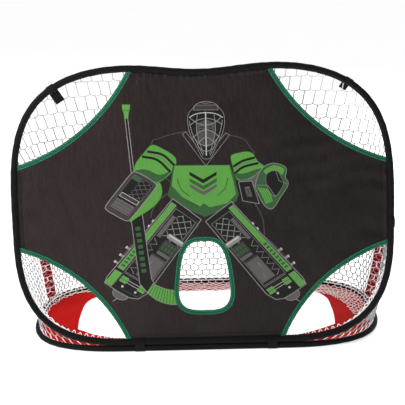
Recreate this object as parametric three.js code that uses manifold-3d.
// Pop-up hockey goal: two sprung hoops in fabric sleeves, a net between them and a target tarp in front.
// Millimetres, +Z up, the tarp faces -Y. Each loop is drawn flat in its own plane as (x, along) with lift as
// the third axis, then placed: the base loop lies on the floor, the front loop stands on the base loop's
// front run and leans back.
import * as THREE from "three";
import Module from "manifold-3d";
import { mergeVertices } from "three/addons/utils/BufferGeometryUtils.js";

const wasm = await Module();
wasm.setup();
const { Manifold } = wasm;

// Driving dimensions
const GOAL_WIDTH = 1220;
const FRONT_LENGTH = 912;
const BASE_WIDTH = 1180;
const BASE_DEPTH = 646;
const LEAN = THREE.MathUtils.degToRad(4);

// Tubes
const SLEEVE_RADIUS = 10;
const SLEEVE_WALL = 1.2;
const TUBE_SIDES = 12;
const TUBE_INNER_SIDES = 8;
const HOOP_RADIUS = 2.5;
const HOOP_SIDES = 6;
const FERRULE_RADIUS = 4.6;
const FERRULE_BORE = 3.2;
const CUFF_RADIUS = 11.5;
const RUN_GAP = 1;
const GAP = 0.3;

// Sheets
const TARP_THICKNESS = 1.2;
const TAPE_THICKNESS = 0.8;
const TAPE_WIDTH = 15;
const HEM_WIDTH = 14;
const NET_THICKNESS = 1.6;
const BAND_WIDTH = 36;
const BAND_THICKNESS = 1;
const FLOOR_THICKNESS = 1.2;

// Corner cut-outs of the tarp: circles centred outside its corners
const UPPER_CUT = { x: 757, along: 1171, radius: 604 };
const LOWER_CUT = { x: 752, along: -198, radius: 536 };
// Five-hole: a rounded shape, narrower at the top
const FIVE_HOLE = { along: 219, halfHeight: 116, halfWidth: 80, taper: 14, power: 3.3 };

const TIE_X = 216;
const TIE_WIDTH = 32;
const LOOP_STEPS = 80;
const FLAT_RUN = 240;

// Both loops: superellipses split at their widest level, with a straight run at the bottom.
const front = {
  halfWidth: GOAL_WIDTH / 2 - SLEEVE_RADIUS,
  level: 367,
  flat: FLAT_RUN,
  lowPower: 2.8,
  highReach: FRONT_LENGTH - 367 - SLEEVE_RADIUS,
  highPower: 3.68,
  dip: 25,
};
const base = {
  halfWidth: BASE_WIDTH / 2 - SLEEVE_RADIUS,
  level: 280,
  flat: FLAT_RUN,
  lowPower: 2.85,
  highReach: BASE_DEPTH - 280 - 2 * SLEEVE_RADIUS,
  highPower: 3.3,
  dip: 0,
};

const FRONT_RUN_Y = -BASE_DEPTH / 2 + SLEEVE_RADIUS;
const HINGE_Z = 3 * SLEEVE_RADIUS + RUN_GAP;
const onFloor = new THREE.Matrix4().makeTranslation(0, FRONT_RUN_Y, SLEEVE_RADIUS);
const upright = new THREE.Matrix4()
  .makeTranslation(0, FRONT_RUN_Y, HINGE_Z)
  .multiply(new THREE.Matrix4().makeRotationX(Math.PI / 2 - LEAN));

const signedPower = (value, power) => Math.sign(value) * Math.abs(value) ** power;

// Centre line of a loop, with closer points where it bends. It starts at the middle of the straight run and
// goes round by +x; the -x half mirrors the +x half.
function loopPoints(loop) {
  const fine = [new THREE.Vector2(0, 0)];
  const count = 360;
  for (let i = 0; i < count; i += 1) {
    const turn = (Math.PI * (i + 0.5)) / count;
    const rise = -Math.cos(turn);
    const low = rise < 0;
    const power = 2 / (low ? loop.lowPower : loop.highPower);
    const flat = low ? loop.flat : 0;
    const x = flat + (loop.halfWidth - flat) * signedPower(Math.sin(turn), power);
    const reach = low ? loop.level : loop.highReach;
    const dip = low ? 0 : loop.dip * Math.exp(-((x / 180) ** 2));
    fine.push(new THREE.Vector2(x, loop.level + reach * signedPower(rise, power) - dip));
  }
  fine.push(new THREE.Vector2(0, loop.level + loop.highReach - loop.dip));
  const half = respaced(fine, LOOP_STEPS / 2);
  const mirrored = half.slice(1, -1).reverse().map(({ x, y }) => new THREE.Vector2(-x, y));
  return [...half, ...mirrored];
}

// A polyline resampled so that a step is short where the line turns.
function respaced(fine, steps) {
  const bendLength = 200;
  const travel = [0];
  for (let i = 1; i < fine.length; i += 1) {
    const run = fine[i].clone().sub(fine[i - 1]);
    const next = i + 1 < fine.length ? fine[i + 1].clone().sub(fine[i]) : run;
    const bend = Math.abs(Math.asin(run.cross(next) / (run.length() * next.length())));
    travel.push(travel[i - 1] + run.length() + bendLength * bend);
  }
  const points = [fine[0]];
  let i = 1;
  for (let step = 1; step < steps; step += 1) {
    const wanted = (travel[travel.length - 1] * step) / steps;
    while (travel[i] < wanted) i += 1;
    const share = (wanted - travel[i - 1]) / (travel[i] - travel[i - 1]);
    points.push(fine[i - 1].clone().lerp(fine[i], share));
  }
  return [...points, fine[fine.length - 1]];
}

// Frames along a flat path: a point and the direction to the left of travel.
function framesAlong(points, closed) {
  const last = points.length - 1;
  return points.map((point, i) => {
    const before = points[i > 0 || !closed ? Math.max(i - 1, 0) : last];
    const after = points[i < last || !closed ? Math.min(i + 1, last) : 0];
    const travel = after.clone().sub(before).normalize();
    return { point, left: new THREE.Vector2(-travel.y, travel.x) };
  });
}

// Part of a frame list between two whole steps, going on past the end of a closed list.
function framesBetween(frames, from, to) {
  const picked = [];
  for (let i = from; i <= to; i += 1) picked.push(frames[(i + frames.length) % frames.length]);
  return picked;
}

const frameBetween = (one, next, share) => ({
  point: one.point.clone().lerp(next.point, share),
  left: one.left.clone().lerp(next.left, share),
});

// Sweeps an outline [left, lift] along frames. The outline runs anticlockwise.
function sweep(frames, outline, closed) {
  const positions = [];
  const faces = [];
  const size = outline.length;
  for (const { point, left } of frames)
    for (const [across, lift] of outline)
      positions.push(point.x + left.x * across, point.y + left.y * across, lift);
  const spans = closed ? frames.length : frames.length - 1;
  for (let i = 0; i < spans; i += 1)
    for (let j = 0; j < size; j += 1) {
      const a = i * size + j;
      const b = i * size + ((j + 1) % size);
      const c = ((i + 1) % frames.length) * size + ((j + 1) % size);
      const d = ((i + 1) % frames.length) * size + j;
      faces.push(a, b, c, a, c, d);
    }
  if (!closed) {
    const flat = outline.map(([x, y]) => new THREE.Vector2(x, y));
    const end = (frames.length - 1) * size;
    for (const [a, b, c] of THREE.ShapeUtils.triangulateShape(flat, []))
      faces.push(c, b, a, end + a, end + b, end + c);
  }
  return meshGeometry(positions, faces);
}

function meshGeometry(positions, faces) {
  const geometry = new THREE.BufferGeometry();
  geometry.setAttribute("position", new THREE.Float32BufferAttribute(positions, 3));
  geometry.setIndex(faces);
  return geometry;
}

const rectangle = (left, right, bottom, top) => [
  [left, bottom],
  [right, bottom],
  [right, top],
  [left, top],
];

// Regular polygon with a flat facing each axis; apothem is the distance to its flats.
function polygon(apothem, sides) {
  const radius = apothem / Math.cos(Math.PI / sides);
  return Array.from({ length: sides }, (_, i) => {
    const angle = (2 * Math.PI * (i + 0.5)) / sides;
    return [radius * Math.cos(angle), radius * Math.sin(angle)];
  });
}

// Tube wall with a slit along its inner side, where the cloth or the crimp closes.
const splitTube = (outer, inner, innerSides = TUBE_SIDES) => [
  ...polygon(outer, TUBE_SIDES),
  ...polygon(inner, innerSides).reverse(),
];

function solidOf(geometry) {
  geometry.deleteAttribute("normal");
  geometry.deleteAttribute("uv");
  const merged = mergeVertices(geometry, 1e-4);
  const vertProperties = merged.attributes.position.array;
  const triVerts = new Uint32Array(merged.index.array);
  return new Manifold(new wasm.Mesh({ numProp: 3, vertProperties, triVerts }));
}

// A flat plate with a given outline, from one level up to another
function plate(shape, bottom, top) {
  const options = { depth: top - bottom, bevelEnabled: false, curveSegments: 8 };
  return solidOf(new THREE.ExtrudeGeometry(shape, options).translate(0, 0, bottom));
}

const CUTTER_REACH = 10;
const cutter = (points) => plate(new THREE.Shape(points), -CUTTER_REACH, CUTTER_REACH);

function geometryOf(solid) {
  const { numProp, vertProperties, triVerts } = solid.getMesh();
  const positions = [];
  for (let i = 0; i < vertProperties.length; i += numProp)
    positions.push(vertProperties[i], vertProperties[i + 1], vertProperties[i + 2]);
  return meshGeometry(positions, Array.from(triVerts));
}

const black = { color: 0x17181a, roughness: 0.85, metalness: 0 };
const tarpCloth = { color: 0x2b2526, roughness: 0.6, metalness: 0 };
const greenTape = { color: 0x17694a, roughness: 0.8, metalness: 0 };
const redCloth = { color: 0xb02224, roughness: 0.8, metalness: 0 };
const netCord = { color: 0xf1f1ee, roughness: 0.9, metalness: 0 };
const webbing = { color: 0x0f1012, roughness: 0.9, metalness: 0 };
const springSteel = { color: 0x8d9196, roughness: 0.35, metalness: 1 };
const crimpSteel = { color: 0xb9bcc0, roughness: 0.3, metalness: 1 };

const group = new THREE.Group();

function add(name, geometry, material, placement) {
  const mesh = new THREE.Mesh(geometry, new THREE.MeshStandardMaterial(material));
  mesh.name = name;
  if (placement) mesh.applyMatrix4(placement);
  group.add(mesh);
}

const frontFrames = framesAlong(loopPoints(front), true);
const baseFrames = framesAlong(loopPoints(base), true);
const TOP = LOOP_STEPS / 2;

// Sleeves, sewn shut with a slit on their inner side
const sleeve = splitTube(SLEEVE_RADIUS, SLEEVE_RADIUS - SLEEVE_WALL, TUBE_INNER_SIDES);
add("base_sleeve", sweep(baseFrames, sleeve, true), black, onFloor);
add("front_sleeve", sweep(frontFrames, sleeve, true), black, upright);

// Hoops, whose ends meet inside a split ferrule opposite the straight run
function hoopFrames(frames) {
  const [here, next] = framesBetween(frames, TOP, TOP + 1);
  const wayRound = framesBetween(frames, TOP + 1, TOP + LOOP_STEPS);
  return [frameBetween(here, next, 0.53), ...wayRound, frameBetween(here, next, 0.47)];
}

for (const [name, frames, placement] of [["base", baseFrames, onFloor], ["front", frontFrames, upright]]) {
  const wire = polygon(HOOP_RADIUS, HOOP_SIDES);
  const ferrule = splitTube(FERRULE_RADIUS, FERRULE_BORE);
  add(`${name}_hoop`, sweep(hoopFrames(frames), wire, false), springSteel, placement);
  add(`${name}_ferrule`, sweep(framesBetween(frames, TOP, TOP + 1), ferrule, false), crimpSteel, placement);
}

// Laps where each sleeve closes on itself: a full cuff at the right of the front loop and a patch over the
// back of the base loop that stays clear of the floor
const cuff = splitTube(CUFF_RADIUS, SLEEVE_RADIUS + GAP);
const nearestStep = (frames, x, along) => {
  const distances = frames.map(({ point }) => Math.hypot(point.x - x, point.y - along));
  return distances.indexOf(Math.min(...distances));
};
const cuffStep = nearestStep(frontFrames, front.halfWidth, 385);
add("front_cuff", sweep(framesBetween(frontFrames, cuffStep, cuffStep + 1), cuff, false), black, upright);

function overTop(outer, inner) {
  const arc = (apothem) => polygon(apothem, TUBE_SIDES).slice(1, 6);
  return [...arc(outer), ...arc(inner).reverse()];
}
const patchFrames = framesBetween(baseFrames, TOP - 3, TOP - 1);
add("base_seam_patch", sweep(patchFrames, overTop(CUFF_RADIUS, SLEEVE_RADIUS + GAP), false), black, onFloor);

// Tie bands: arches over both stacked runs, sewn to the sides of the lower one
function tieBand(x) {
  const inner = SLEEVE_RADIUS + 0.8;
  const outer = inner + 1.6;
  const rise = HINGE_Z - SLEEVE_RADIUS;
  const foot = -4;
  const arch = (radius) =>
    Array.from({ length: 9 }, (_, i) => {
      const angle = (Math.PI * i) / 8;
      return [radius * Math.cos(angle), rise + radius * Math.sin(angle)];
    });
  const outside = [[outer, foot], ...arch(outer), [-outer, foot]];
  const profile = [...outside, [-inner, foot], ...arch(inner).reverse(), [inner, foot]];
  const width = [x - TIE_WIDTH / 2, x + TIE_WIDTH / 2].map((end) => new THREE.Vector2(end, 0));
  return sweep(framesAlong(width, false), profile, false);
}
add("tie_band_left", tieBand(-TIE_X), webbing, onFloor);
add("tie_band_right", tieBand(TIE_X), webbing, onFloor);

// Red floor ring: under the base sleeve's inner side, open in the middle, wide at the corners
function floorRing() {
  const tuck = 7.6;
  const outside = baseFrames.map(({ point, left }) => point.clone().addScaledVector(left, tuck));
  const opening = new THREE.Shape();
  opening.moveTo(-258, 30);
  opening.lineTo(258, 30);
  opening.quadraticCurveTo(400, 120, 443, 158);
  opening.quadraticCurveTo(452, 290, 443, 410);
  opening.quadraticCurveTo(430, 530, 300, 545);
  opening.lineTo(-300, 545);
  opening.quadraticCurveTo(-430, 530, -443, 410);
  opening.quadraticCurveTo(-452, 290, -443, 158);
  opening.quadraticCurveTo(-400, 120, -258, 30);
  const ring = plate(new THREE.Shape(outside), 0, FLOOR_THICKNESS);
  return ring.subtract(plate(opening, -CUTTER_REACH, CUTTER_REACH));
}
const ringPlace = new THREE.Matrix4().makeTranslation(0, FRONT_RUN_Y, GAP);
add("floor_ring", geometryOf(floorRing()), redCloth, ringPlace);

// Outline of a cut in the tarp, taken clockwise so that left points into the cloth
function circlePoints({ x, along, radius }, side, steps) {
  return Array.from({ length: steps }, (_, i) => {
    const angle = (-2 * Math.PI * i) / steps;
    return new THREE.Vector2(side * x + radius * Math.cos(angle), along + radius * Math.sin(angle));
  });
}

function fiveHolePoints(steps) {
  const { along, halfHeight, halfWidth, taper, power } = FIVE_HOLE;
  return Array.from({ length: steps }, (_, i) => {
    const angle = (-2 * Math.PI * i) / steps;
    const rise = signedPower(Math.sin(angle), 2 / power);
    const side = signedPower(Math.cos(angle), 2 / power);
    return new THREE.Vector2((halfWidth - taper * rise) * side, along + halfHeight * rise);
  });
}

const CUT_STEPS = 160;
const FIVE_STEPS = 36;
const halfTarp = TARP_THICKNESS / 2;
const corners = [
  ["upper_left", UPPER_CUT, -1],
  ["upper_right", UPPER_CUT, 1],
  ["lower_left", LOWER_CUT, -1],
  ["lower_right", LOWER_CUT, 1],
];

// Tarp: its edge goes through the sleeve's slit, and two notches leave room for the tie bands
function tarp() {
  const tuck = SLEEVE_RADIUS - 2;
  const edge = frontFrames.map(({ point, left }) => point.clone().addScaledVector(left, tuck));
  let cloth = plate(new THREE.Shape(edge), -halfTarp, halfTarp);
  cloth = cloth.subtract(cutter(fiveHolePoints(FIVE_STEPS)));
  for (const [, cut, side] of corners) cloth = cloth.subtract(cutter(circlePoints(cut, side, CUT_STEPS)));
  for (const x of [-TIE_X, TIE_X]) {
    const half = TIE_WIDTH / 2 + 2;
    const notch = rectangle(x - half, x + half, 0, 15);
    cloth = cloth.subtract(cutter(notch.map((corner) => new THREE.Vector2(...corner))));
  }
  return cloth;
}
add("tarp", geometryOf(tarp()), tarpCloth, upright);

// Green binding: tape folded over each cut edge, mitred where it meets the sleeve
const tapeIn = halfTarp + GAP;
const tapeOut = tapeIn + TAPE_THICKNESS;
const lip = -2 * GAP;
const fold = lip - TAPE_THICKNESS;
const tapeFold = [
  [fold, -tapeOut],
  [fold + TAPE_WIDTH, -tapeOut],
  [fold + TAPE_WIDTH, -tapeIn],
  [lip, -tapeIn],
  [lip, tapeIn],
  [fold + TAPE_WIDTH, tapeIn],
  [fold + TAPE_WIDTH, tapeOut],
  [fold, tapeOut],
];
const aroundSleeve = solidOf(sweep(frontFrames, polygon(CUFF_RADIUS + 2 * GAP, TUBE_SIDES), true));

function cornerBinding(cut, side) {
  const points = circlePoints(cut, side, CUT_STEPS);
  const frames = framesAlong(points, true);
  const inside = frames.map(({ point }) => insideLoop(point));
  const first = inside.findIndex((now, i) => now && !inside[(i + points.length - 1) % points.length]);
  const count = inside.filter(Boolean).length;
  const strip = sweep(framesBetween(frames, first, first + count - 1), tapeFold, false);
  const pieces = solidOf(strip).subtract(aroundSleeve).decompose();
  return geometryOf(largest(pieces));
}

const insideLoop = (point) => {
  const step = nearestStep(frontFrames, point.x, point.y);
  const { point: near, left } = frontFrames[step];
  return point.clone().sub(near).dot(left) > -2;
};
const largest = (solids) => solids.reduce((best, one) => (one.volume() > best.volume() ? one : best));

for (const [name, cut, side] of corners) add(`binding_${name}`, cornerBinding(cut, side), greenTape, upright);
const fiveFrames = framesAlong(fiveHolePoints(FIVE_STEPS), true);
add("binding_five_hole", sweep(fiveFrames, tapeFold, true), greenTape, upright);

// Hems: the doubled edge of the tarp beside the sleeve, in four runs between the corner bindings
function hems() {
  const start = CUFF_RADIUS + 5 * GAP;
  const strip = rectangle(start, start + HEM_WIDTH, tapeIn, tapeOut);
  let ring = solidOf(sweep(frontFrames, strip, true));
  for (const [, cut, side] of corners) {
    const reach = { ...cut, radius: cut.radius + TAPE_WIDTH + GAP };
    ring = ring.subtract(cutter(circlePoints(reach, side, CUT_STEPS)));
  }
  return ring.decompose();
}

for (const run of hems()) {
  const { min, max } = run.boundingBox();
  const x = (min[0] + max[0]) / 2;
  const sideName = x < 0 ? "left" : "right";
  const endName = max[1] > FRONT_LENGTH / 2 ? "top" : "bottom";
  const name = Math.abs(x) > GOAL_WIDTH / 4 ? sideName : endName;
  add(`hem_${name}`, geometryOf(run), tarpCloth, upright);
}

// Net: drawn from the back of the front sleeve to the top of the base sleeve, sagging a little inwards
const NET_OFFSET = 10;
const NET_SAG = 28;
const SEAM = 0.55;
const frontHalf = halfLoop(frontFrames, upright, -NET_OFFSET);
const baseHalf = halfLoop(baseFrames, onFloor, NET_OFFSET);
const goalMiddle = new THREE.Vector3(0, -60, 330);

// Net edge along the +x half of a loop, with the share of its length at each point, from the straight run on.
function halfLoop(frames, placement, lift) {
  const points = framesBetween(frames, 0, TOP).map(({ point, left }) => {
    const edge = point.clone().addScaledVector(left, NET_OFFSET);
    return new THREE.Vector3(edge.x, edge.y, lift).applyMatrix4(placement);
  });
  const travel = [0];
  for (let i = 1; i < points.length; i += 1) travel.push(travel[i - 1] + points[i].distanceTo(points[i - 1]));
  return { points, shares: travel.map((length) => length / travel[travel.length - 1]) };
}

function pointAt({ points, shares }, share) {
  const i = Math.max(1, shares.findIndex((value) => value >= share - 1e-9));
  const part = (share - shares[i - 1]) / (shares[i] - shares[i - 1]);
  return points[i - 1].clone().lerp(points[i], part);
}

// share goes 0 to 1 up the right side and on to 2 down the left side; reach goes 0 at the front loop to 1.
function netPoint(share, reach) {
  const side = share > 1 ? -1 : 1;
  const half = share > 1 ? 2 - share : share;
  const from = pointAt(frontHalf, half);
  const to = pointAt(baseHalf, half);
  const slack = Math.min(1, from.distanceTo(to) / 600);
  const point = from.lerp(to, reach);
  const inward = goalMiddle.clone().sub(point).normalize();
  const sag = NET_SAG * slack * Math.sin(Math.PI * reach);
  point.addScaledVector(inward, sag);
  point.x *= side;
  return point;
}

// A thin sheet over a grid of points, with its thickness towards the outside. point(u, v) takes 0 to 1 each.
function sheet(pointOf, uSteps, vSteps, offset, thickness) {
  const positions = [];
  const faces = [];
  const step = 1e-3;
  for (const layer of [offset, offset + thickness])
    for (let i = 0; i <= uSteps; i += 1)
      for (let j = 0; j <= vSteps; j += 1) {
        const u = i / uSteps;
        const v = j / vSteps;
        const alongU = pointOf(Math.min(1, u + step), v).sub(pointOf(Math.max(0, u - step), v));
        const alongV = pointOf(u, Math.min(1, v + step)).sub(pointOf(u, Math.max(0, v - step)));
        const outward = alongV.cross(alongU).normalize();
        positions.push(...pointOf(u, v).addScaledVector(outward, layer).toArray());
      }
  const across = vSteps + 1;
  const top = (uSteps + 1) * across;
  const quad = (a, b, c, d) => faces.push(a, b, c, a, c, d);
  for (let i = 0; i < uSteps; i += 1)
    for (let j = 0; j < vSteps; j += 1) {
      const a = i * across + j;
      quad(a, a + across, a + across + 1, a + 1);
      quad(top + a, top + a + 1, top + a + across + 1, top + a + across);
    }
  for (let i = 0; i < uSteps; i += 1) {
    const near = i * across;
    const far = near + vSteps;
    quad(near, top + near, top + near + across, near + across);
    quad(far + across, top + far + across, top + far, far);
  }
  for (let j = 0; j < vSteps; j += 1) {
    const end = uSteps * across + j;
    quad(j + 1, top + j + 1, top + j, j);
    quad(end, top + end, top + end + 1, end + 1);
  }
  return meshGeometry(positions, faces);
}

const netPanel = (fromShare, toShare, uSteps, vSteps) =>
  sheet((u, v) => netPoint(fromShare + (toShare - fromShare) * u, v), uSteps, vSteps, 0, NET_THICKNESS);
const FRONT_GAP_SHARE = 0.2;
const SEAM_GAP = 0.0006;
const NET_ROWS = 8;
add("net_side_right", netPanel(FRONT_GAP_SHARE, SEAM - SEAM_GAP, 12, NET_ROWS), netCord);
add("net_side_left", netPanel(2 - SEAM + SEAM_GAP, 2 - FRONT_GAP_SHARE, 12, NET_ROWS), netCord);
add("net_back", netPanel(SEAM + SEAM_GAP, 2 - SEAM - SEAM_GAP, 30, NET_ROWS), netCord);

// Red bands behind the seams between the side and back nets
const bandShare = BAND_WIDTH / 1800 / 2;
const redBand = (seam) =>
  sheet(
    (u, v) => netPoint(seam + (2 * u - 1) * bandShare, v),
    4,
    NET_ROWS,
    NET_THICKNESS + 5 * GAP,
    BAND_THICKNESS,
  );
add("red_band_right", redBand(SEAM), redCloth);
add("red_band_left", redBand(2 - SEAM), redCloth);

// Storage straps: webbing round the sleeve at each upper corner, and a tab that lies on the net behind it
const STRAP_POINT = { x: 462, along: 812 };
const STRAP_WIDTH = 25;
const STRAP_LENGTH = 48;
const STRAP_THICKNESS = 1.6;

function addStrap(name, side) {
  const step = nearestStep(frontFrames, side * STRAP_POINT.x, STRAP_POINT.along);
  const [before, here, after] = framesBetween(frontFrames, step - 1, step + 1);
  const edge = (next) => frameBetween(here, next, STRAP_WIDTH / 2 / here.point.distanceTo(next.point));
  add(`strap_anchor_${name}`, sweep([edge(before), here, edge(after)], cuff, false), webbing, upright);

  const middle = new THREE.Vector3(here.point.x, here.point.y, 0).applyMatrix4(upright);
  const across = new THREE.Vector3(-here.left.y, here.left.x, 0).transformDirection(upright);
  const netFoot = pointAt(baseHalf, 0.82);
  const netRun = netFoot.setX(side * netFoot.x).sub(middle).normalize();
  const outward = across.clone().cross(netRun).normalize();
  const down = outward.clone().cross(across).normalize();
  const root = middle.addScaledVector(outward, CUFF_RADIUS + 3 * GAP + STRAP_THICKNESS / 2);
  const place = new THREE.Matrix4().makeBasis(across, down, outward).setPosition(root);
  const tab = new THREE.BoxGeometry(STRAP_WIDTH, STRAP_LENGTH, STRAP_THICKNESS);
  add(`strap_${name}`, tab.translate(0, STRAP_LENGTH / 2, 0), webbing, place);
  const patchThickness = TAPE_THICKNESS;
  const patchLift = (STRAP_THICKNESS + patchThickness) / 2 + GAP / 2;
  const patch = new THREE.BoxGeometry(20, 24, patchThickness).translate(0, STRAP_LENGTH - 15, patchLift);
  add(`strap_${name}_patch`, patch, webbing, place);
}
addStrap("left", -1);
addStrap("right", 1);

export default group;
